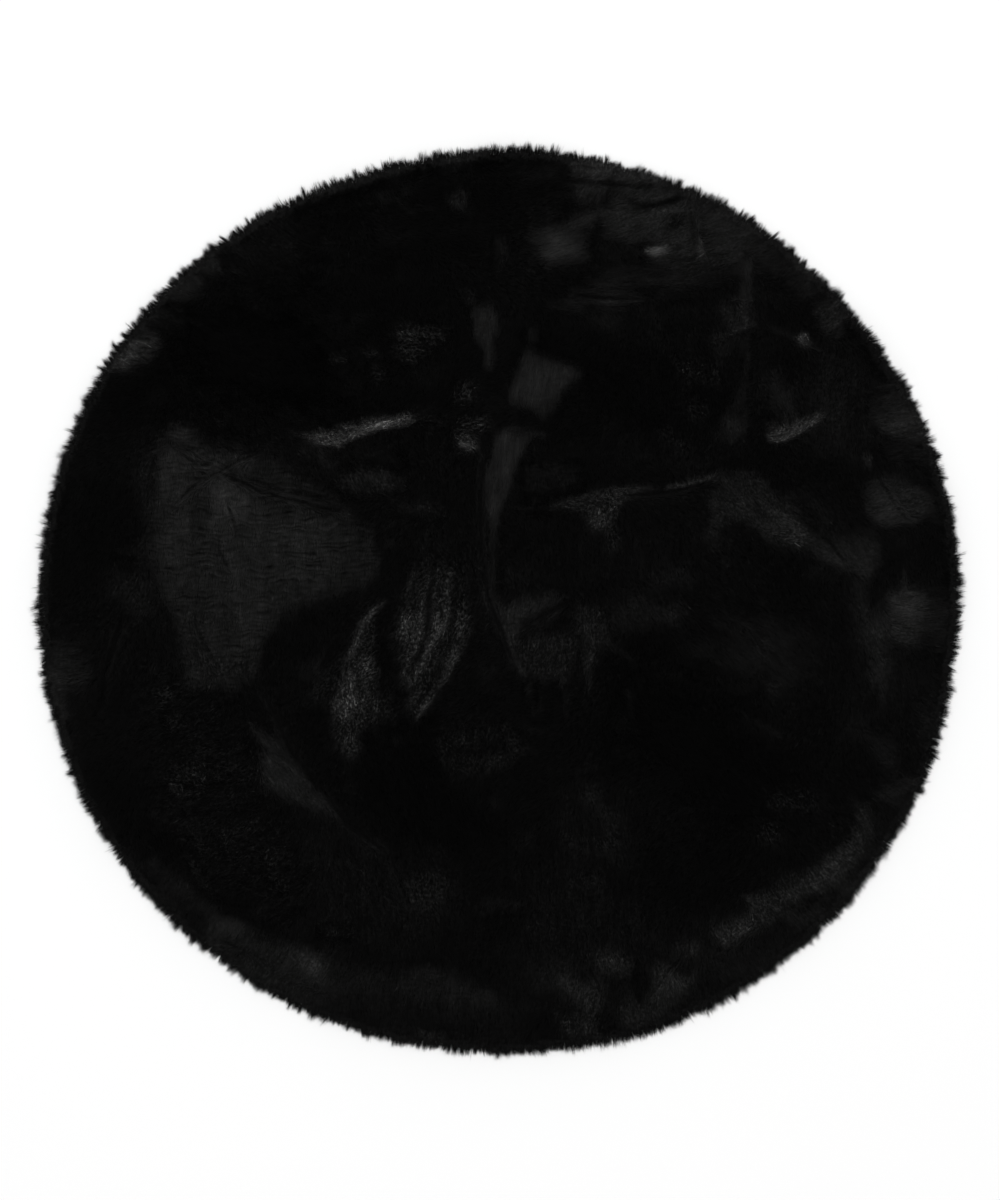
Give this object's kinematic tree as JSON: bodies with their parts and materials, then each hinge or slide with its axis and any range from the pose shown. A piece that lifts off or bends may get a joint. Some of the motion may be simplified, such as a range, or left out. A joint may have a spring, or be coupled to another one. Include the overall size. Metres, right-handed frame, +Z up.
{
  "type": "round faux fur rug",
  "caption": "Round rug of dense black faux fur, lying flat with hand-brushed pile and a rim of small fur locks, for covering a patch of floor.",
  "frame": {"origin": "on the floor, under the middle of the rug's bounding box", "axes": "+Z up out of the pile, +X towards the right of the rug as laid, along its slightly longer side, +Y towards its far side"},
  "size_m": [1.006, 0.9872, 0.0256],
  "materials": {
    "fur": "soft black synthetic pile with a faint sheen where it is brushed, matte elsewhere"
  },
  "bodies": {
    "root": {"fur_slab": "fur"}
  },
  "joints": []
}
